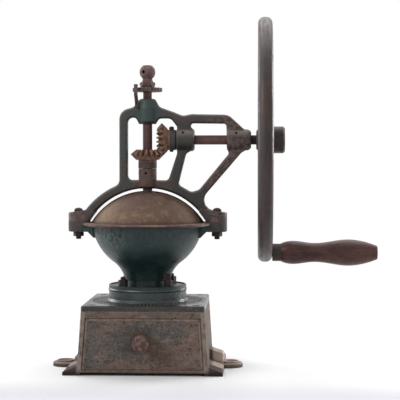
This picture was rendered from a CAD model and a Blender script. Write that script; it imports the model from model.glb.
from math import cos, pi, radians, sin

import bpy
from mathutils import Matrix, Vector


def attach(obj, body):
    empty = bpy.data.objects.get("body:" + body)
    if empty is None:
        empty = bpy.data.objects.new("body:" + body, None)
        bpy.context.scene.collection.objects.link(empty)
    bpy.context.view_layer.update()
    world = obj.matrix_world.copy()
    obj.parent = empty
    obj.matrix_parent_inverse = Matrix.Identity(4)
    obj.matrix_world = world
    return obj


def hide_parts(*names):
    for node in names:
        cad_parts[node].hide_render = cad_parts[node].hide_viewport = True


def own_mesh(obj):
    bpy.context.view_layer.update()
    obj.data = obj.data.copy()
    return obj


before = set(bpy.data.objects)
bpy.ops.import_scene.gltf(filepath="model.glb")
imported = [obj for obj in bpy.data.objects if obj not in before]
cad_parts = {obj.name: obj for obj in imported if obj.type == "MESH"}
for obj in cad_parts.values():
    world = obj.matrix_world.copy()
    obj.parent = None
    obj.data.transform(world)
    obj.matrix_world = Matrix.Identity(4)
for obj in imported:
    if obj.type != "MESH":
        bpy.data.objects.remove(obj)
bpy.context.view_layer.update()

# Looks of a hand cranked poppy seed mill: old painted castings worn down to rust, a lacquered sheet
# dome, rusted gears and shafts, a dark wooden grip, a white backdrop and soft studio light.
# Metres, in the same frame as the solids. Texture sizes are in millimetres.

# ---- view and light -----------------------------------------------------------------------------
camera_place = (0.129, -1.500, 0.242)
camera_target = (0.0630, 0.0, 0.2000)
camera_lens = 112.7
sensor_width = 36.0
clip_end = 50.0
aim = (0.03, 0.0, 0.2)
lamps = {   # place, size, power
    "key_light": ((-1.3, -1.2, 1.3), 1.2, 20.0),
    "fill_light": ((1.3, -1.5, 0.8), 1.4, 3.0),
    "top_light": ((0.1, 0.7, 1.8), 2.0, 26.0),
    "right_edge_light": ((1.3, 0.9, 0.5), 0.8, 20.0),
    "left_edge_light": ((-1.3, 0.9, 0.6), 0.8, 9.0),
}
world_light = 0.45

# ---- places on the mill that colours follow (metres) --------------------------------------------
# Where a name has two values, the colour is absent at the first and full at the second.
bowl_dark_z = (0.168, 0.112)         # hopper: the bowl turns nearly black
bowl_bright_x = (-0.006, -0.030)     # brighter paint at the upper left
bowl_bright_z = (0.132, 0.156)
pits_x = (-0.014, -0.028)            # pitted paint
pits_z = (0.142, 0.150)
faint_pits_z = (0.138, 0.164)
lug_x = (0.071, 0.079)               # clamp lugs
rim_line_z = (0.1664, 0.1684)        # dark line under the rim
rim_lip_z = (0.1708, 0.1716)         # rusted upper half of the rim
dome_pale_left = (-0.012, -0.050)    # dome: paler sides
dome_pale_right = (0.028, 0.058)
dome_stain_right = (0.022, -0.018)   # the stain near its top
dome_stain_left = (-0.052, -0.022)
dome_stain_z = (0.184, 0.200)
dome_rust_z = (0.190, 0.180)         # orange rust low at the left
dome_rust_x = (0.005, -0.020)
dome_rim_z = (0.1775, 0.1735)
lump_x = (0.077, 0.081)              # base: the lumps behind the ears
lump_y = (-0.050, -0.046)
lump_z = (0.036, 0.030)
middle_x = (-0.01, 0.01)
foot_x = (0.074, 0.078)              # front ends of the side feet
foot_y = (-0.046, -0.052)
foot_z = (0.014, 0.010)
box_front_y = (-0.068, -0.071)
foot_line_z = (0.0055, 0.0030)       # soot along the lower edge
face_green_x = (0.000, -0.020)       # drawer: greener at the left
knob_height = 0.0380
knob_stain_x = -0.0030               # middle of the marks round the knob
knob_ring = (0.018, 0.009)           # their distances from it
knob_wear = (0.034, 0.020)
arc_radius = 0.0165
arc_width = (0.0022, 0.0004)
arc_over = (0.006, 0.012)
run_start_x = (-0.014, 0.004)        # rust that runs from the knob
run_end_x = (0.050, 0.030)
run_half = (0.015, 0.004)
run_slope = 0.42
drawer_half = 0.0708                 # half width of the drawer's front at the table
drawer_lean = 0.0647                 # and how much that shrinks with height
drawer_high = 0.0659
drawer_joint = (drawer_half, drawer_half + 0.0012)
drawer_rim = (drawer_half - 0.0032, drawer_half - 0.0022)
drawer_top_rim = (drawer_high - 0.0034, drawer_high - 0.0024)
yoke_brown_x = (0.010, 0.045)        # yoke: browner at the right
post_x = (-0.020, -0.028)            # teal on the left post
post_z = (0.238, 0.252)
top_boss_z = (0.286, 0.297)          # teal on the top boss
top_boss_right = (0.016, 0.009)
top_boss_left = (-0.030, -0.012)
bearings_x = (0.026, 0.034)          # dark bearings of the crank shaft
bearings_z = (0.300, 0.288)
low_boss_x = (0.019, 0.010)          # rust on the low boss
low_boss_z = (0.248, 0.236)
clamp_foot_x = (0.066, 0.080)
wheel_left_x = (0.140, 0.134)        # wheel: lighter at the left of the rim, dark past its middle
wheel_dark_x = (0.1385, 0.1425)
wheel_right_x = (0.1500, 0.1495)
hub_x = (0.1500, 0.1525)             # its hub
hub_low_z = (0.254, 0.256)
hub_high_z = (0.290, 0.288)
black_from = (0.118, 0.1195)         # crank shaft: black at the wheel
black_to = (0.1345, 0.133)
driven_hub_z = (0.2465, 0.2450)      # hubs of the gears
drive_hub_x = (0.0265, 0.0280)
grip_worn_x = (0.205, 0.232)         # grip: rubbed by the hand
plate_rust_y = (-0.040, -0.060)      # plate: rust near the front edge
pedestal_z = (0.0800, 0.0822)        # foot of the pedestal
rib_count = 84.0                     # ribs in the plate's ring
ring_inside = (0.0485, 0.0500)       # ribbed ring and the lip round it, from the middle
ring_outside = (0.0650, 0.0640)
lip_radius = 0.0671
lip_width = (0.0012, 0.0006)

# ---- patterns: each seed shifts one paint's noise -----------------------------------------------
box_seed = 0.0
drawer_seed = 4.7
plate_seed = 5.2
tray_seed = 1.7
bridge_seed = 2.6
mm_per_metre = 1000.0
edge_samples = 4                     # rays that find corners, hollows and rounded corners
hollow_samples = 6
corner_samples = 6
edge_share = (0.01, 0.12)            # from a flat surface to a full corner
hollow_share = (0.15, 0.75)          # from an open surface to a full hollow
rib_space = (0.25, -0.25)            # the same, from a rib to the space beside it
waves = 20.0                         # a wave texture repeats after 2 pi / 20 / its scale

# ---- floor --------------------------------------------------------------------------------------
floor_front = -3.2
floor_back = 2.4
floor_curve = 0.6
floor_half = 4.0
wall_top = 3.0
paper_front = (0.66, 0.66, 0.70)
paper_mill = (0.84, 0.84, 0.85)
paper_turn = (-0.20, -0.09)   # where the paper gets whiter, along Y
paper_white = (0.10, 0.45)    # where it turns white behind the mill
paper_far = (0.55, 1.10)      # and where it turns white all round
paper_wobble = 0.03           # unevenness of the turn, and its size in millimetres
paper_wobble_size = 300.0
curve_steps = 8

# ---- colours (linear) ---------------------------------------------------------------------------
teal = (0.010, 0.024, 0.024)
teal_deep = (0.0055, 0.016, 0.016)
teal_bright = (0.018, 0.046, 0.043)
teal_grey = (0.034, 0.050, 0.048)
grey_green = (0.040, 0.043, 0.041)
brown_grey = (0.056, 0.040, 0.036)
black_green = (0.016, 0.020, 0.018)
rust = (0.118, 0.062, 0.042)
rust_light = (0.215, 0.132, 0.092)
rust_dark = (0.046, 0.023, 0.018)
orange_rust = (0.240, 0.125, 0.060)
pink_brown = (0.112, 0.060, 0.053)
box_brown = (0.146, 0.096, 0.076)
box_grey = (0.092, 0.080, 0.070)
bronze = (0.112, 0.064, 0.040)
bronze_light = (0.205, 0.134, 0.080)
bronze_stain = (0.080, 0.043, 0.033)
wood = (0.062, 0.026, 0.022)
wood_light = (0.130, 0.060, 0.048)
wood_dark = (0.022, 0.012, 0.011)
iron = (0.036, 0.031, 0.030)
bare_iron = (0.230, 0.215, 0.200)
soot = (0.010, 0.009, 0.008)
dust = (0.260, 0.225, 0.200)
rubbed_grey = (0.230, 0.215, 0.205)
dry_dust = (0.190, 0.150, 0.130)
pale_flare = (0.640, 0.510, 0.440)
pit_edge = (0.050, 0.085, 0.080)
teal_fleck = (0.085, 0.105, 0.098)
dark_line = (0.020, 0.012, 0.010)
grime = (0.022, 0.021, 0.018)
rubbed_border = (0.250, 0.205, 0.180)
foot_dark = (0.020, 0.013, 0.011)
green_wear = (0.034, 0.040, 0.036)
brass_brown = (0.240, 0.165, 0.120)
boss_teal = (0.022, 0.052, 0.047)
bearing_dark = (0.022, 0.024, 0.021)
rust_film = (0.080, 0.052, 0.044)
pink_dust = (0.165, 0.105, 0.092)
wheel_brown = (0.036, 0.028, 0.025)
wheel_grey = (0.040, 0.038, 0.035)
wheel_light = (0.075, 0.070, 0.066)
wheel_dark = (0.016, 0.012, 0.011)
wheel_rust = (0.070, 0.032, 0.026)
wheel_black = (0.020, 0.018, 0.017)
hub_dark = (0.018, 0.011, 0.010)
gear_brown = (0.125, 0.063, 0.047)
gear_orange = (0.250, 0.135, 0.092)
gear_crest = (0.36, 0.225, 0.165)
plate_grey = (0.026, 0.028, 0.026)
pedestal_dark = (0.020, 0.034, 0.033)
pedestal_grey = (0.038, 0.050, 0.048)
plate_edge = (0.150, 0.125, 0.110)
tin_dark = (0.27, 0.25, 0.22)
tin_light = (0.38, 0.36, 0.32)
knob_dark = (0.052, 0.036, 0.031)
knob_pink = (0.150, 0.084, 0.068)
shaft_brown = (0.075, 0.042, 0.037)
spindle_dark = (0.060, 0.034, 0.031)
spindle_brown = (0.088, 0.048, 0.044)
nut_black = (0.013, 0.013, 0.012)
nut_brown = (0.030, 0.019, 0.016)
worn_iron = (0.13, 0.12, 0.11)
spring_brown = (0.11, 0.085, 0.075)
ferrule_dark = (0.044, 0.032, 0.031)
ball_pink = (0.175, 0.112, 0.104)
disc_pink = (0.150, 0.100, 0.094)
lock_nut_brown = (0.100, 0.062, 0.056)


class Paint:
    """Builds one node material, with texture sizes in millimetres on the object's coordinates."""

    def __init__(self, name):
        self.material = bpy.data.materials.new(name)
        self.material.use_nodes = True
        self.tree = self.material.node_tree
        self.shader = self.tree.nodes["Principled BSDF"]
        self.place = self.add("ShaderNodeTexCoord").outputs["Object"]

    def add(self, kind, **settings):
        """New node with its plain settings."""
        node = self.tree.nodes.new(kind)
        for key, value in settings.items():
            setattr(node, key, value)
        return node

    def feed(self, socket, value):
        """Links a socket, or sets a plain value."""
        if isinstance(value, bpy.types.NodeSocket):
            self.tree.links.new(value, socket)
        elif hasattr(socket.default_value, "__len__") and not isinstance(value, (int, float)):
            socket.default_value = (*value, 1.0)[:len(socket.default_value)]
        else:
            socket.default_value = value

    def calc(self, kind, a, b=0.0):
        """One arithmetic step."""
        node = self.add("ShaderNodeMath", operation=kind)
        self.feed(node.inputs[0], a)
        self.feed(node.inputs[1], b)
        return node.outputs[0]

    def stretched(self, scale, shift=(0, 0, 0)):
        """Object coordinates, scaled along each axis and shifted."""
        node = self.add("ShaderNodeMapping")
        node.inputs["Scale"].default_value = scale
        node.inputs["Location"].default_value = shift
        self.feed(node.inputs["Vector"], self.place)
        return node.outputs["Vector"]

    def noise(self, size, detail=4.0, rough=0.55, scale=(1, 1, 1), shift=(0, 0, 0), twist=0.0):
        """Cloudy value, with blobs of about the given size."""
        node = self.add("ShaderNodeTexNoise")
        node.inputs["Scale"].default_value = mm_per_metre / size
        node.inputs["Detail"].default_value = detail
        node.inputs["Roughness"].default_value = rough
        node.inputs["Distortion"].default_value = twist
        self.feed(node.inputs["Vector"], self.stretched(scale, shift))
        return node.outputs["Fac"]

    def cells(self, size, shift=(0, 0, 0)):
        """Distance from the nearest of scattered points."""
        node = self.add("ShaderNodeTexVoronoi")
        node.inputs["Scale"].default_value = mm_per_metre / size
        self.feed(node.inputs["Vector"], self.stretched((1, 1, 1), shift))
        return node.outputs["Distance"]

    def step(self, value, low, high):
        """Smooth rise from 0 to 1 between two values."""
        node = self.add("ShaderNodeMapRange", interpolation_type="SMOOTHSTEP")
        self.feed(node.inputs["Value"], value)
        node.inputs["From Min"].default_value = low
        node.inputs["From Max"].default_value = high
        return node.outputs["Result"]

    def span(self, value, low, high):
        """Changes a 0 to 1 value to the range from low to high."""
        node = self.add("ShaderNodeMapRange")
        self.feed(node.inputs["Value"], value)
        node.inputs["To Min"].default_value = low
        node.inputs["To Max"].default_value = high
        return node.outputs["Result"]

    def clouds(self, low, high, *size, **place):
        """Patches with soft borders: noise that rises from 0 to 1 between two values."""
        return self.step(self.noise(*size, **place), low, high)

    def uneven(self, low, high, *size, **place):
        """Noise between two values."""
        return self.span(self.noise(*size, **place), low, high)

    def mix(self, share, a, b):
        """Colour between a and b."""
        node = self.add("ShaderNodeMix", data_type="RGBA")
        self.feed(node.inputs["Factor"], share)
        self.feed(node.inputs[6], a)
        self.feed(node.inputs[7], b)
        return node.outputs[2]

    def axis(self, name):
        """One coordinate of the object, in metres."""
        node = self.add("ShaderNodeSeparateXYZ")
        self.feed(node.inputs[0], self.place)
        return node.outputs[name]

    def zone(self, name, low, high, wobble=0.006, size=14.0):
        """Rise from 0 to 1 along an axis, with an uneven border."""
        return self.step(self.calc("ADD", self.axis(name), self.shake(2 * wobble, size)), low, high)

    def edges(self, radius):
        """High where the surface turns a convex or concave corner."""
        bevel = self.add("ShaderNodeBevel", samples=edge_samples)
        bevel.inputs["Radius"].default_value = radius / mm_per_metre
        plain = self.add("ShaderNodeNewGeometry")
        dot = self.add("ShaderNodeVectorMath", operation="DOT_PRODUCT")
        self.feed(dot.inputs[0], bevel.outputs["Normal"])
        self.feed(dot.inputs[1], plain.outputs["Normal"])
        return self.step(self.without(dot.outputs["Value"]), *edge_share)

    def hollows(self, reach):
        """High in corners and hollows."""
        node = self.add("ShaderNodeAmbientOcclusion", samples=hollow_samples)
        node.inputs["Distance"].default_value = reach / mm_per_metre
        return self.step(self.without(node.outputs["AO"]), *hollow_share)

    def upward(self, low=0.35, high=0.85):
        """High where the surface faces up when the mill is at rest."""
        split = self.add("ShaderNodeSeparateXYZ")
        self.feed(split.inputs[0], self.add("ShaderNodeTexCoord").outputs["Normal"])
        return self.step(split.outputs["Z"], low, high)

    def bumps(self, *layers, rounded=0.0):
        """Surface relief from (height value, depth in millimetres) layers, over corners that look
        rounded off by so many millimetres."""
        normal = None
        if rounded:
            bevel = self.add("ShaderNodeBevel", samples=corner_samples)
            bevel.inputs["Radius"].default_value = rounded / mm_per_metre
            normal = bevel.outputs["Normal"]
        for height, depth in layers:
            node = self.add("ShaderNodeBump")
            node.inputs["Strength"].default_value = 1.0
            node.inputs["Distance"].default_value = depth / mm_per_metre
            self.feed(node.inputs["Height"], height)
            if normal is not None:
                self.feed(node.inputs["Normal"], normal)
            normal = node.outputs["Normal"]
        self.feed(self.shader.inputs["Normal"], normal)

    def patch(self, color, share, amount, over):
        """Lays a colour over another where a share is high, at most by an amount."""
        return self.mix(self.calc("MULTIPLY", share, amount), color, over)

    def distance(self, across, along):
        """Length of the line to a point, from its two sides."""
        return self.calc("SQRT", self.calc("ADD", self.calc("MULTIPLY", across, across),
                                          self.calc("MULTIPLY", along, along)))

    def shake(self, amount, *size, **place):
        """Noise about zero that spans about the given amount."""
        return self.calc("MULTIPLY", self.calc("SUBTRACT", self.noise(*size, **place), 0.5), amount)

    def without(self, share):
        """The rest, where a share is low."""
        return self.calc("SUBTRACT", 1.0, share)

    def both(self, *shares):
        """High only where every share is high."""
        result = shares[0]
        for share in shares[1:]:
            result = self.calc("MULTIPLY", result, share)
        return result

    def finish(self, color, roughness, metallic=0.0, shine=0.25):
        """Feeds the shader and returns the material."""
        self.feed(self.shader.inputs["Base Color"], color)
        self.feed(self.shader.inputs["Roughness"], roughness)
        self.feed(self.shader.inputs["Metallic"], metallic)
        self.shader.inputs["Specular IOR Level"].default_value = shine
        return self.material


def rust_colors(p, seed):
    """Patchy rust from dark to light."""
    shift = (seed, 0.3 * seed, 0.7 * seed)
    broad = p.mix(p.clouds(0.35, 0.65, 7.0, 6, shift=shift), rust_dark, rust)
    return p.mix(p.clouds(0.52, 0.74, 2.2, 6, shift=shift), broad, rust_light)


def bridge_paint():
    """Old paint on a casting: two tones, chips to rust, worn edges, dirt in the corners, specks."""
    p = Paint("bridge_paint")
    shift = (bridge_seed, 0.4 * bridge_seed, 0.8 * bridge_seed)
    tones = p.mix(p.clouds(0.38, 0.66, 34.0, 5, shift=shift), black_green, iron)
    tones = p.mix(p.clouds(0.56, 0.8, 6.0, 8, 0.65, shift=shift), tones, brown_grey)
    chips = p.calc("ADD", p.noise(13.0, 10, 0.68, shift=shift, twist=0.6),
                   p.calc("MULTIPLY", p.edges(1.6), p.uneven(0.0, 0.4, 5.0, 5)))
    chips = p.step(chips, 0.56, 0.62)
    color = p.mix(chips, tones, rust_colors(p, bridge_seed))
    color = p.patch(color, p.hollows(7.0), 0.7, soot)
    specks = p.both(p.step(p.cells(3.1, shift=shift), 0.11, 0.06), p.clouds(0.5, 0.62, 9.0))
    color = p.mix(specks, color, dust)
    roughness = p.calc("ADD", p.span(chips, 0.4, 0.75), p.uneven(-0.08, 0.1, 4.0, 5))
    p.bumps((p.noise(1.6, 4), 0.12), (p.noise(9.0, 3), 0.35), (chips, -0.12))
    return p.finish(color, roughness)


def hopper_paint():
    """Satin dark teal, nearly black below, pitted at the upper left, with a rusted lip that a dark
    line sets off, and grey-green lugs."""
    p = Paint("hopper_paint")
    tones = p.mix(p.zone("Z", *bowl_dark_z, 0.010, 30.0), teal, teal_deep)
    tones = p.patch(tones, p.clouds(0.46, 0.72, 24.0, 6), 0.55, teal_grey)
    streaks = p.clouds(0.56, 0.74, 7.0, 6, 0.6, scale=(1, 1, 0.3), shift=(2, 9, 4))
    tones = p.patch(tones, streaks, 0.35, teal_grey)
    left = p.both(p.zone("X", *bowl_bright_x, 0.010), p.zone("Z", *bowl_bright_z, 0.010))
    tones = p.patch(tones, left, 0.6, teal_bright)
    grit = p.noise(6.5, 5, 0.62, scale=(1.7, 1.7, 0.6), twist=1.6)
    where = p.both(p.zone("X", *pits_x, 0.008), p.zone("Z", *pits_z, 0.008))
    where = p.calc("MAXIMUM", where, p.span(p.zone("Z", *faint_pits_z, 0.008), 0.0, 0.25))
    dents = p.both(p.step(grit, 0.50, 0.56), where)
    color = p.patch(tones, p.both(p.step(grit, 0.50, 0.44), where), 0.75, pit_edge)
    color = p.patch(color, dents, 0.95, soot)
    flecks = p.clouds(0.63, 0.72, 2.4, 6, 0.7, shift=(5, 2, 8))
    color = p.patch(color, flecks, 0.4, teal_fleck)
    lugs = p.step(p.calc("ABSOLUTE", p.axis("X")), *lug_x)
    color = p.patch(color, lugs, 0.9, p.mix(p.clouds(0.42, 0.62, 8.0, 6), grey_green, brown_grey))
    line = p.both(p.zone("Z", *rim_line_z, 0.0006, 8.0), p.without(lugs))
    color = p.patch(color, line, 0.85, dark_line)
    lip = p.both(p.zone("Z", *rim_lip_z, 0.0004, 6.0), p.without(lugs))
    color = p.mix(lip, color, p.mix(p.clouds(0.4, 0.66, 9.0, 6), pink_brown, rust_light))
    color = p.patch(color, p.hollows(6.0), 0.6, soot)
    rubbed = p.calc("MAXIMUM", lip, p.calc("MULTIPLY", lugs, 0.8))
    roughness = p.calc("ADD", p.span(rubbed, 0.34, 0.7), p.uneven(-0.06, 0.14, 5.0, 6))
    p.bumps((p.noise(12.0, 3), 0.5), (p.noise(1.8, 4), 0.05), (dents, -0.35), (flecks, -0.05))
    return p.finish(color, roughness, shine=0.35)


def dome_lacquer():
    """Bronze-brown lacquer on thin sheet: paler at the left, reddish-dark at the top, mottled,
    with orange rust low at the left and a dark rim."""
    p = Paint("dome_lacquer")
    base = p.mix(p.clouds(0.36, 0.66, 26.0, 6, 0.6), bronze, p.mix(0.5, bronze, bronze_stain))
    pale = p.calc("MAXIMUM", p.zone("X", *dome_pale_left, 0.016, 24.0),
                  p.calc("MULTIPLY", p.zone("X", *dome_pale_right, 0.012, 20.0), 0.45))
    base = p.patch(base, pale, 0.75, bronze_light)
    base = p.patch(base, p.clouds(0.50, 0.66, 9.0, 7, 0.62, shift=(4, 1, 2)), 0.6, bronze_light)
    stain = p.both(p.zone("X", *dome_stain_right, 0.02, 22.0),
                   p.zone("X", *dome_stain_left, 0.016, 18.0),
                   p.zone("Z", *dome_stain_z, 0.010, 16.0))
    stain = p.calc("MAXIMUM", stain, p.clouds(0.56, 0.70, 14.0, 8, 0.66, shift=(9, 2, 5)))
    color = p.patch(base, stain, 0.8, bronze_stain)
    blots = p.clouds(0.52, 0.62, 5.0, 8, 0.7, shift=(7, 7, 3))
    color = p.patch(color, blots, 0.35, bronze_stain)
    low = p.both(p.zone("Z", *dome_rust_z, 0.005), p.zone("X", *dome_rust_x, 0.010))
    spots = p.clouds(0.54, 0.66, 7.0, 6, 0.6, shift=(1, 6, 2))
    color = p.patch(color, p.both(spots, p.span(low, 0.15, 0.85)), 0.8, orange_rust)
    speck = p.clouds(0.58, 0.70, 2.2, 7, 0.72, shift=(2, 7, 1))
    color = p.patch(color, speck, 0.6, rust_dark)
    grain = p.clouds(0.5, 0.75, 1.1, 5, 0.7, shift=(8, 3, 6))
    color = p.patch(color, grain, 0.3, dust)
    lines = p.clouds(0.62, 0.7, 5.0, 5, 0.6, scale=(1.0, 1.0, 9.0), shift=(3, 3, 3))
    color = p.patch(color, lines, 0.25, dust)
    color = p.patch(color, p.zone("Z", *dome_rim_z, 0.001, 6.0), 0.75, rust_dark)
    color = p.patch(color, p.edges(1.0), 0.6, rust_dark)
    roughness = p.uneven(0.46, 0.7, 8.0, 6)
    p.bumps((p.noise(22.0, 3), 0.5), (p.noise(1.5, 4), 0.06), (speck, -0.06), (stain, -0.04))
    return p.finish(color, roughness, metallic=0.12)


def box_skin(p, seed):
    """The colour of the base before its stains: brown-grey paint worn thin, lightly brushed along
    X, pitted and speckled. Gives the colour and the pits."""
    shift = (seed, seed, 0.5 * seed)
    blotch = p.clouds(0.40, 0.62, 21.0, 7, 0.62, scale=(0.7, 0.7, 1.1), shift=shift)
    base = p.mix(blotch, box_grey, box_brown)
    middle = p.noise(6.5, 7, 0.66, scale=(0.55, 0.8, 1.1), shift=shift)
    base = p.patch(base, p.step(middle, 0.52, 0.66), 0.6, dry_dust)
    base = p.patch(base, p.step(middle, 0.47, 0.36), 0.55, grime)
    brushed = p.noise(3.0, 5, 0.6, scale=(0.12, 0.3, 1.6), shift=shift)
    base = p.patch(base, p.step(brushed, 0.55, 0.76), 0.35, dry_dust)
    fine = p.noise(1.3, 6, 0.7, shift=shift)
    base = p.patch(base, p.step(fine, 0.5, 0.68), 0.5, dust)
    base = p.patch(base, p.step(fine, 0.48, 0.32), 0.7, soot)
    pits = p.clouds(0.55, 0.64, 3.4, 8, 0.74, shift=shift)
    return p.patch(base, pits, 0.75, soot), pits


def off_drawer(p):
    """Distance from the drawer's middle, carried down along its leaning side to the table."""
    side = p.calc("ABSOLUTE", p.axis("X"))
    return p.calc("ADD", side, p.calc("MULTIPLY", p.axis("Z"), drawer_lean))


def box_rust():
    """The base casting: its worn skin, rust patches, borders rubbed lighter, pale dry flares."""
    p = Paint("base_rust")
    color, pits = box_skin(p, box_seed)
    patches = p.clouds(0.56, 0.72, 17.0, 8, 0.66, scale=(0.7, 1, 1), shift=(box_seed, 3, 1))
    color = p.patch(color, patches, 0.4, rust_colors(p, box_seed))
    side = p.calc("ABSOLUTE", p.axis("X"))
    humps = p.both(p.step(side, *lump_x), p.step(p.axis("Y"), *lump_y), p.zone("Z", *lump_z, 0.002))
    right = p.span(p.step(p.axis("X"), *middle_x), 0.45, 1.0)
    color = p.patch(color, p.both(humps, right, p.uneven(0.5, 1.0, 6.0, 6)), 0.95, pale_flare)
    feet = p.both(p.step(side, *foot_x), p.step(p.axis("Y"), *foot_y), p.zone("Z", *foot_z, 0.002))
    front = p.step(p.axis("Y"), *box_front_y)
    border = p.both(front, p.step(off_drawer(p), *drawer_joint), p.clouds(0.36, 0.60, 6.0, 7, 0.64))
    color = p.patch(color, border, 0.75, rubbed_border)
    color = p.patch(color, p.upward(), 0.3, dry_dust)
    color = p.patch(color, feet, 0.85, foot_dark)
    foot_line = p.zone("Z", *foot_line_z, 0.0008, 8.0)
    color = p.patch(color, foot_line, 0.75, soot)
    color = p.patch(color, p.both(p.edges(2.2), p.uneven(0.3, 1.0, 7.0, 5)), 0.7, rust_light)
    color = p.patch(color, p.hollows(5.0), 0.75, soot)
    roughness = p.uneven(0.55, 0.82, 6.0, 5)
    p.bumps((p.noise(14.0, 4), 0.5), (p.noise(1.4, 5, 0.65), 0.12), (pits, -0.2), (patches, 0.05))
    return p.finish(color, roughness, shine=0.15)


def drawer_face():
    """The drawer's front: as the base, greener at the left, with a dark ring and scratched arcs
    about the knob, a rust stain that runs from it to the lower right and rubbed borders."""
    p = Paint("drawer_face")
    color, pits = box_skin(p, drawer_seed)
    left = p.both(p.zone("X", *face_green_x, 0.014, 18.0), p.clouds(0.40, 0.62, 16.0, 6, 0.62))
    color = p.patch(color, left, 0.25, teal_grey)
    across = p.calc("SUBTRACT", p.axis("X"), knob_stain_x)
    up = p.calc("SUBTRACT", p.axis("Z"), knob_height)
    far = p.distance(across, up)
    far = p.calc("ADD", far, p.shake(0.010, 7.0, 5))
    color = p.patch(color, p.step(far, *knob_ring), 0.6, rust_dark)
    arc = p.step(p.calc("ABSOLUTE", p.calc("SUBTRACT", far, arc_radius)), *arc_width)
    arc = p.both(arc, p.step(up, *arc_over), p.clouds(0.42, 0.58, 4.0, 6))
    color = p.patch(color, arc, 0.5, soot)
    worn = p.both(p.step(far, *knob_wear), p.clouds(0.46, 0.58, 5.0, 7, 0.66, shift=(2, 2, 9)))
    color = p.patch(color, worn, 0.45, green_wear)
    lean = p.calc("ADD", up, p.calc("MULTIPLY", across, run_slope))
    off = p.calc("ABSOLUTE", p.calc("ADD", lean, p.shake(0.022, 13.0, 6, 0.6)))
    stain = p.both(p.step(off, *run_half), p.zone("X", *run_start_x, 0.006),
                   p.zone("X", *run_end_x, 0.008))
    more = p.clouds(0.56, 0.72, 17.0, 8, 0.66, scale=(0.6, 1, 1), shift=(7, 0, 4))
    stain = p.calc("MAXIMUM", stain, p.calc("MULTIPLY", more, 0.4))
    stain = p.both(stain, p.span(p.clouds(0.40, 0.60, 4.5, 8, 0.7, shift=(6, 1, 5)), 0.25, 1.0))
    color = p.patch(color, stain, 0.7, p.mix(p.clouds(0.42, 0.60, 7.0, 7, 0.66), rust, rust_dark))
    side = p.calc("ADD", off_drawer(p), p.shake(0.002, 6.0, 5))
    rim = p.calc("MAXIMUM", p.step(side, *drawer_rim), p.zone("Z", *drawer_top_rim, 0.0008, 7.0))
    color = p.patch(color, p.both(rim, p.clouds(0.34, 0.56, 7.0, 7, 0.64)), 0.8, brass_brown)
    color = p.patch(color, p.both(p.edges(1.8), p.uneven(0.1, 1.0, 5.0, 6)), 0.6, rust_light)
    color = p.patch(color, p.hollows(5.0), 0.7, soot)
    roughness = p.uneven(0.5, 0.8, 6.0, 5)
    p.bumps((p.noise(15.0, 4), 0.45), (p.noise(1.4, 5, 0.65), 0.12), (pits, -0.2), (arc, -0.15))
    return p.finish(color, roughness, shine=0.18)


def frame_paint():
    """The yoke: grey-green paint, teal on the top boss, brown and rusty on low boss and feet."""
    p = Paint("frame_paint")
    base = p.mix(p.clouds(0.38, 0.60, 26.0, 6), grey_green, brown_grey)
    right = p.zone("X", *yoke_brown_x, 0.015, 20.0)
    base = p.patch(base, right, 0.30, brown_grey)
    post = p.both(p.zone("X", *post_x, 0.003), p.zone("Z", *post_z, 0.008))
    base = p.patch(base, p.both(post, p.clouds(0.36, 0.56, 14.0, 6)), 0.6, teal_grey)
    top = p.both(p.zone("Z", *top_boss_z, 0.004), p.zone("X", *top_boss_right, 0.004),
                 p.zone("X", *top_boss_left, 0.006))
    base = p.patch(base, top, 0.8, boss_teal)
    bosses = p.both(p.zone("X", *bearings_x, 0.003), p.zone("Z", *bearings_z, 0.003))
    base = p.patch(base, bosses, 0.6, bearing_dark)
    off = p.calc("ABSOLUTE", p.axis("X"))
    low = p.both(p.step(off, *low_boss_x), p.zone("Z", *low_boss_z, 0.004))
    feet = p.step(off, *clamp_foot_x)
    rusted = p.calc("MAXIMUM", low, p.calc("MULTIPLY", feet, 0.8))
    chips = p.calc("ADD", p.noise(12.0, 10, 0.68, twist=0.5), p.calc("MULTIPLY", rusted, 0.17))
    chips = p.calc("ADD", chips, p.calc("MULTIPLY", p.edges(1.4), p.uneven(0.0, 0.25, 5.0, 5)))
    chips = p.step(chips, 0.60, 0.72)
    film = p.mix(p.clouds(0.4, 0.7, 4.0, 7, 0.65), rust_film, rust_dark)
    color = p.patch(base, chips, 0.8, film)
    color = p.patch(color, p.both(low, p.clouds(0.42, 0.6, 6.0, 7, 0.64)), 0.6, rust)
    speck = p.clouds(0.60, 0.72, 2.0, 6, 0.7, shift=(6, 1, 9))
    color = p.patch(color, speck, 0.5, soot)
    fine = p.clouds(0.54, 0.76, 1.5, 6, 0.7, shift=(3, 8, 2))
    color = p.patch(color, fine, 0.35, dust)
    color = p.patch(color, p.both(p.upward(0.1, 0.7), p.uneven(0.4, 1.0, 6.0, 6)), 0.8, dry_dust)
    color = p.patch(color, p.upward(-0.05, -0.55), 0.6, soot)
    rubbed = p.both(p.edges(3.0), p.uneven(0.0, 1.0, 11.0, 6))
    color = p.patch(color, rubbed, 0.55, p.mix(p.clouds(0.4, 0.6, 16.0, 4), teal_grey, dry_dust))
    pads = p.both(feet, p.clouds(0.44, 0.60, 5.0, 7, 0.66, shift=(2, 4, 4)))
    color = p.patch(color, pads, 0.55, pink_dust)
    color = p.patch(color, p.hollows(7.0), 0.7, soot)
    roughness = p.calc("ADD", p.span(chips, 0.42, 0.7), p.uneven(-0.06, 0.1, 4.0, 5))
    p.bumps((p.noise(9.0, 3), 0.4), (p.noise(1.5, 5), 0.1), (chips, -0.08), (speck, -0.05),
            rounded=3.0)
    return p.finish(color, roughness, shine=0.3)


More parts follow.
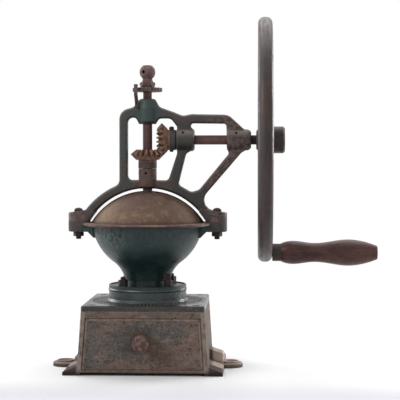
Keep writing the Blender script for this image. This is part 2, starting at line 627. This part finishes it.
def wheel_paint():
    """The crank wheel: dull dark paint with red-brown streaks round the rim, pale specks, and a
    dark brown hub."""
    p = Paint("wheel_paint")
    base = p.mix(p.clouds(0.40, 0.62, 24.0, 6), wheel_brown, wheel_grey)
    rim = p.step(p.axis("X"), *wheel_right_x)
    base = p.patch(base, p.step(p.axis("X"), *wheel_left_x), 0.45, wheel_light)
    late = p.both(rim, p.zone("X", *wheel_dark_x, 0.0016, 20.0), p.clouds(0.30, 0.55, 30.0, 5))
    base = p.patch(base, late, 0.75, wheel_dark)
    streak = p.noise(15.0, 8, 0.66, scale=(3.4, 0.35, 0.35))
    rusty = p.mix(p.noise(3.0, 6), rust_dark, wheel_rust)
    color = p.patch(base, p.step(streak, 0.46, 0.60), 0.85, rusty)
    color = p.patch(color, p.step(streak, 0.46, 0.30), 0.5, wheel_black)
    wear = p.clouds(0.58, 0.76, 3.4, 7, 0.68, scale=(1.5, 0.6, 0.6), shift=(3, 1, 7))
    color = p.patch(color, wear, 0.3, dry_dust)
    speck = p.both(p.step(p.cells(6.0), 0.10, 0.05), p.clouds(0.50, 0.60, 12.0))
    color = p.mix(speck, color, dust)
    hub = p.both(p.zone("X", *hub_x, 0.0003, 5.0),
                 p.step(p.axis("Z"), *hub_low_z), p.step(p.axis("Z"), *hub_high_z))
    color = p.patch(color, hub, 0.85, p.mix(p.clouds(0.56, 0.74, 4.0, 7, 0.66), hub_dark, rust))
    color = p.patch(color, p.hollows(8.0), 0.6, soot)
    roughness = p.span(p.step(streak, 0.48, 0.62), 0.34, 0.52)
    roughness = p.calc("ADD", roughness, p.uneven(-0.05, 0.12, 4.0, 5))
    p.bumps((p.noise(10.0, 3), 0.45), (p.noise(1.6, 5), 0.08), (wear, -0.06))
    return p.finish(color, roughness, shine=0.3)


def rusted_steel(name, tone, second, seed, metallic=0.2, thread=0.0, lathe="Z", sooty=False):
    """Bare steel or iron under a rust film, with turning marks and, on screws, a thread. The
    crank shaft is black at the wheel."""
    p = Paint(name)
    shift = (seed, 0.6 * seed, 0.2 * seed)
    base = p.mix(p.clouds(0.38, 0.66, 8.0, 7, 0.62, shift=shift), tone, second)
    base = p.mix(p.clouds(0.58, 0.74, 2.0, 7, 0.7, shift=shift), base, rust_dark)
    turn = {"X": (6.0, 0.3, 0.3), "Z": (0.3, 0.3, 6.0)}[lathe]
    marks = p.noise(2.4, 4, 0.6, scale=turn, shift=shift)
    base = p.patch(base, p.step(marks, 0.55, 0.8), 0.25, dust)
    color = p.patch(base, p.hollows(4.0), 0.75, soot)
    color = p.patch(color, p.edges(0.7), 0.2, dust)
    if sooty:
        band = p.both(p.step(p.axis("X"), *black_from), p.step(p.axis("X"), *black_to))
        color = p.patch(color, band, 0.9, soot)
    layers = [(p.noise(1.2, 5, 0.6, shift=shift), 0.06), (marks, 0.04)]
    if thread:
        wave = p.add("ShaderNodeTexWave", wave_type="BANDS", bands_direction="Z",
                     wave_profile="TRI")
        wave.inputs["Scale"].default_value = mm_per_metre / thread / waves * 2 * pi
        p.feed(wave.inputs["Vector"], p.place)
        layers.append((wave.outputs["Fac"], 0.45))
    p.bumps(*layers)
    return p.finish(color, p.uneven(0.5, 0.75, 3.0, 5), metallic=metallic)


def gear_rust(name, hub_axis, hub_place, hub_color):
    """Orange-brown rust on the teeth, dark in the spaces, rubbed lighter on the crests, and a hub
    of its own colour."""
    p = Paint(name)
    base = p.mix(p.clouds(0.36, 0.64, 5.0, 7, 0.62), gear_brown, gear_orange)
    base = p.mix(p.clouds(0.58, 0.74, 1.4, 6, 0.7), base, rust_dark)
    base = p.patch(base, p.edges(0.9), 0.5, gear_crest)
    hub = p.mix(p.clouds(0.52, 0.70, 3.6, 7, 0.66), hub_color, rust)
    color = p.mix(p.zone(hub_axis, *hub_place, 0.0008, 5.0), base, hub)
    color = p.patch(color, p.hollows(5.0), 0.9, soot)
    p.bumps((p.noise(1.2, 5, 0.65), 0.12), (p.noise(4.0, 3), 0.2))
    return p.finish(color, p.uneven(0.5, 0.8, 3.0, 5), metallic=0.1)


def grip_wood():
    """Turned dark red-brown wood, with grain along it, dents, and polish where the hand rubs."""
    p = Paint("grip_wood")
    grain = p.noise(3.0, 7, 0.62, scale=(0.1, 1.4, 1.4))
    fine = p.noise(0.9, 4, 0.6, scale=(0.06, 1, 1))
    base = p.mix(p.step(grain, 0.36, 0.64), wood_dark, wood)
    base = p.patch(base, p.step(fine, 0.5, 0.72), 0.5, wood_light)
    rubbed = p.clouds(0.45, 0.65, 20.0, 5, scale=(0.7, 1, 1))
    base = p.patch(base, rubbed, 0.3, wood_light)
    base = p.patch(base, p.zone("X", *grip_worn_x, 0.008), 0.2, wood_light)
    dirt = p.clouds(0.58, 0.72, 6.0, 8, 0.68, scale=(0.7, 1, 1), shift=(2, 5, 1))
    color = p.patch(base, dirt, 0.6, soot)
    color = p.patch(color, p.hollows(5.0), 0.7, soot)
    roughness = p.span(dirt, 0.36, 0.62)
    p.bumps((grain, 0.12), (fine, 0.06), (p.noise(11.0, 4), 0.35), (dirt, -0.08))
    return p.finish(color, roughness, shine=0.2)


def plate_paint():
    """Top plate: near-black worn paint, dark between the ribs and rubbed on them, with rust near
    the front edge, and a teal-grey pedestal."""
    p = Paint("plate_paint")
    ribs = p.mix(p.clouds(0.4, 0.64, 8.0, 7, 0.62), black_green, plate_grey)
    rusted = p.both(p.zone("Y", *plate_rust_y, 0.006), p.clouds(0.44, 0.6, 7.0, 7))
    ribs = p.patch(ribs, rusted, 0.5, rust_dark)
    across, along = p.axis("X"), p.axis("Y")
    far = p.distance(across, along)
    turn = p.calc("MULTIPLY", p.calc("ARCTAN2", along, across), rib_count)
    ring = p.both(p.step(far, *ring_inside), p.step(far, *ring_outside))
    valley = p.step(p.calc("COSINE", turn), *rib_space)
    ribs = p.patch(ribs, p.both(ring, valley), 0.95, soot)
    crest = p.both(ring, p.without(valley), p.uneven(0.1, 1.0, 11.0, 5))
    ribs = p.patch(ribs, crest, 0.75, rubbed_grey)
    lip = p.step(p.calc("ABSOLUTE", p.calc("SUBTRACT", far, lip_radius)), *lip_width)
    ribs = p.patch(ribs, p.both(lip, p.uneven(0.0, 1.0, 15.0, 5)), 0.5, rubbed_grey)
    rise = p.zone("Z", *pedestal_z, 0.0003, 6.0)
    stand = p.mix(p.clouds(0.4, 0.65, 20.0, 5), pedestal_dark, pedestal_grey)
    base = p.mix(rise, ribs, stand)
    spots = p.clouds(0.55, 0.65, 6.0, 8, 0.7, shift=(4, 4, 1))
    spots = p.both(spots, p.span(rise, 1.0, 0.25))
    color = p.patch(base, spots, 0.7, rust_colors(p, plate_seed))
    color = p.patch(color, p.both(p.edges(1.0), p.uneven(0.1, 0.8, 4.0)), 0.8, plate_edge)
    color = p.patch(color, p.hollows(4.0), 0.85, soot)
    matt = p.calc("MAXIMUM", p.calc("MULTIPLY", spots, 0.6), p.both(ring, valley))
    roughness = p.calc("ADD", p.span(matt, 0.22, 0.9), p.uneven(-0.05, 0.14, 4.0, 5))
    p.bumps((p.noise(8.0, 3), 0.4), (p.noise(1.3, 5), 0.1), (spots, -0.1),
            (p.both(ring, valley), -0.4))
    return p.finish(color, roughness, shine=0.4)


def tinned_sheet():
    """Dull grey sheet of the drawer, with stains and bare spots."""
    p = Paint("tinned_sheet")
    base = p.mix(p.clouds(0.35, 0.65, 26.0, 6), tin_dark, tin_light)
    spots = p.clouds(0.60, 0.72, 7.0, 8, 0.68)
    color = p.mix(p.calc("MULTIPLY", spots, 0.8), base, rust_colors(p, tray_seed))
    color = p.mix(p.calc("MULTIPLY", p.hollows(6.0), 0.6), color, soot)
    p.bumps((p.noise(18.0, 3), 0.3), (p.noise(1.6, 4), 0.04), (spots, -0.08))
    return p.finish(color, p.uneven(0.35, 0.6, 9.0, 5), metallic=0.6)


def dull_knob():
    """Turned drawer pull under a pink-brown film, mottled dark."""
    p = Paint("dull_knob")
    base = p.mix(p.clouds(0.44, 0.56, 4.0, 7, 0.64), knob_pink, knob_dark)
    base = p.mix(p.clouds(0.56, 0.70, 1.6, 6, 0.7), base, rust_dark)
    color = p.patch(base, p.hollows(5.0), 0.85, soot)
    color = p.patch(color, p.edges(1.0), 0.35, dust)
    p.bumps((p.noise(1.4, 5), 0.12), (p.noise(5.0, 3), 0.25))
    return p.finish(color, p.uneven(0.45, 0.7, 3.0), metallic=0.15)


def dress():
    """Gives each node its material."""
    shaft_x = rusted_steel("shaft_across", pink_brown, shaft_brown, 2.0, lathe="X", sooty=True)
    shaft_z = rusted_steel("shaft_upright", spindle_brown, spindle_dark, 4.0)
    nuts = rusted_steel("rusted_nuts", nut_black, nut_brown, 6.0)
    threaded = rusted_steel("rusted_threads", iron, rust_dark, 7.0, thread=1.2)
    screws = rusted_steel("dark_screws", iron, pink_brown, 9.0)
    burrs = rusted_steel("ground_iron", bare_iron, worn_iron, 5.0, metallic=0.8)
    spring = rusted_steel("spring_steel", spring_brown, rust_dark, 3.0, metallic=0.4)
    looks = {
        "base_box": box_rust(), "top_plate": plate_paint(), "plate_screws": screws,
        "hopper": hopper_paint(), "hopper_studs": threaded, "hopper_nuts": nuts,
        "lid_rear_half": dome_lacquer(), "lid_screws": screws, "yoke_frame": frame_paint(),
        "clamp_bolts": threaded, "clamp_nuts": nuts, "gear_pin": nuts,
        "driven_gear": gear_rust("driven_gear_rust", "Z", driven_hub_z, brown_grey),
        "drive_gear": gear_rust("drive_gear_rust", "X", drive_hub_x, grey_green),
        "crank_shaft": shaft_x, "flywheel": wheel_paint(), "wheel_key": screws, "handle_pin": nuts,
        "handle_ferrule": rusted_steel("ferrule_film", ferrule_dark, iron, 1.0, lathe="X"),
        "handle_grip": grip_wood(), "spindle": shaft_z, "feather_key": screws, "outer_burr": burrs,
        "inner_burr": burrs, "burr_nut": nuts, "lower_bridge": bridge_paint(),
        "bridge_screws": screws, "thrust_spring": spring,
        "adjusting_screw": rusted_steel("ball_film", ball_pink, pink_brown, 8.0, thread=1.5),
        "notched_disc": rusted_steel("disc_film", disc_pink, rust_dark, 10.0),
        "lock_nut": rusted_steel("lock_nut_film", lock_nut_brown, rust_dark, 11.0),
        "thrust_disc": burrs, "spring_pawl": spring, "pawl_screw": screws,
        "drawer_front": drawer_face(), "drawer_body": tinned_sheet(),
        "drawer_knob": dull_knob(), "knob_nut": nuts,
    }
    looks["lid_front_half"] = looks["lid_rear_half"]
    for name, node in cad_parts.items():
        for place in node.material_slots:
            place.material = looks[name]
        if not node.material_slots:
            node.data.materials.append(looks[name])


def squeezed_spring():
    """The spring under the spindle, which shortens when the screw presses the spindle down."""
    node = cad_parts["thrust_spring"]
    coil = bpy.data.objects.new("thrust_spring_coil", node.data.copy())
    coil.matrix_world = node.matrix_world.copy()
    bpy.context.scene.collection.objects.link(coil)
    bpy.context.view_layer.update()
    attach(coil, "mill_body")
    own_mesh(coil)
    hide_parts("thrust_spring")


# ---- surroundings -------------------------------------------------------------------------------
def seen_directly(tree):
    """1 for what the camera, a reflection or a view through glass meets, else 0."""
    path = tree.nodes.new("ShaderNodeLightPath")
    seen = path.outputs["Is Camera Ray"]
    for name in ("Is Glossy Ray", "Is Transmission Ray"):
        larger = tree.nodes.new("ShaderNodeMath")
        larger.operation = "MAXIMUM"
        tree.links.new(seen, larger.inputs[0])
        tree.links.new(path.outputs[name], larger.inputs[1])
        seen = larger.outputs[0]
    return seen


def backdrop():
    """Pale floor that takes the shadow, turns white behind the mill and curves up into a wall."""
    profile = [(floor_front, 0.0)]
    for i in range(curve_steps + 1):
        angle = radians(90 * i / curve_steps)
        profile.append((floor_back + floor_curve * sin(angle), floor_curve * (1 - cos(angle))))
    profile.append((floor_back + floor_curve, wall_top))
    vertices = [(x, y, z) for y, z in profile for x in (-floor_half, floor_half)]
    faces = [(2 * i, 2 * i + 1, 2 * i + 3, 2 * i + 2) for i in range(len(profile) - 1)]
    mesh = bpy.data.meshes.new("studio_floor")
    mesh.from_pydata(vertices, [], faces)
    floor = bpy.data.objects.new("studio_floor", mesh)
    bpy.context.scene.collection.objects.link(floor)
    p = Paint("studio_paper")
    p.bumps((p.noise(3.0, 3), 0.02))
    turned = p.zone("Y", *paper_turn, paper_wobble, paper_wobble_size)
    p.finish(p.mix(turned, paper_front, paper_mill), 0.85, shine=0.1)
    glow = p.add("ShaderNodeEmission")
    blend = p.add("ShaderNodeMixShader")
    across, along = p.axis("X"), p.axis("Y")
    far = p.distance(across, along)
    white = p.calc("MAXIMUM", p.step(along, *paper_white), p.step(far, *paper_far))
    p.feed(blend.inputs[0], p.both(seen_directly(p.tree), white))
    p.tree.links.new(p.shader.outputs[0], blend.inputs[1])
    p.tree.links.new(glow.outputs[0], blend.inputs[2])
    p.tree.links.new(blend.outputs[0], p.tree.nodes["Material Output"].inputs["Surface"])
    mesh.materials.append(p.material)


def studio_world():
    """White surroundings for the camera and for reflections, and softer light for the rest."""
    world = bpy.data.worlds.new("studio_world")
    world.use_nodes = True
    tree = world.node_tree
    strength = tree.nodes.new("ShaderNodeMapRange")
    strength.inputs["To Min"].default_value = world_light
    strength.inputs["To Max"].default_value = 1.0
    tree.links.new(seen_directly(tree), strength.inputs["Value"])
    ground = tree.nodes["Background"]
    ground.inputs["Color"].default_value = (1, 1, 1, 1)
    tree.links.new(strength.outputs["Result"], ground.inputs["Strength"])
    bpy.context.scene.world = world


def point(item, place, target):
    """Puts a lamp or camera at its place, turned to a target."""
    item.location = place
    item.rotation_euler = (Vector(target) - Vector(place)).to_track_quat("-Z", "Y").to_euler()
    bpy.context.scene.collection.objects.link(item)


def lamp(name, place, size, power):
    """Soft area lamp that points at the mill."""
    data = bpy.data.lights.new(name, "AREA")
    data.size = size
    data.energy = power
    item = bpy.data.objects.new(name, data)
    point(item, place, aim)


def camera():
    """Camera at the photograph's height and angle."""
    data = bpy.data.cameras.new("camera")
    data.lens = camera_lens
    data.sensor_width = sensor_width
    data.clip_end = clip_end
    item = bpy.data.objects.new("camera", data)
    point(item, camera_place, camera_target)
    bpy.context.scene.camera = item


dress()
squeezed_spring()
backdrop()
studio_world()
for name, (place, size, power) in lamps.items():
    lamp(name, place, size, power)
camera()
bpy.context.scene.view_settings.view_transform = "Standard"
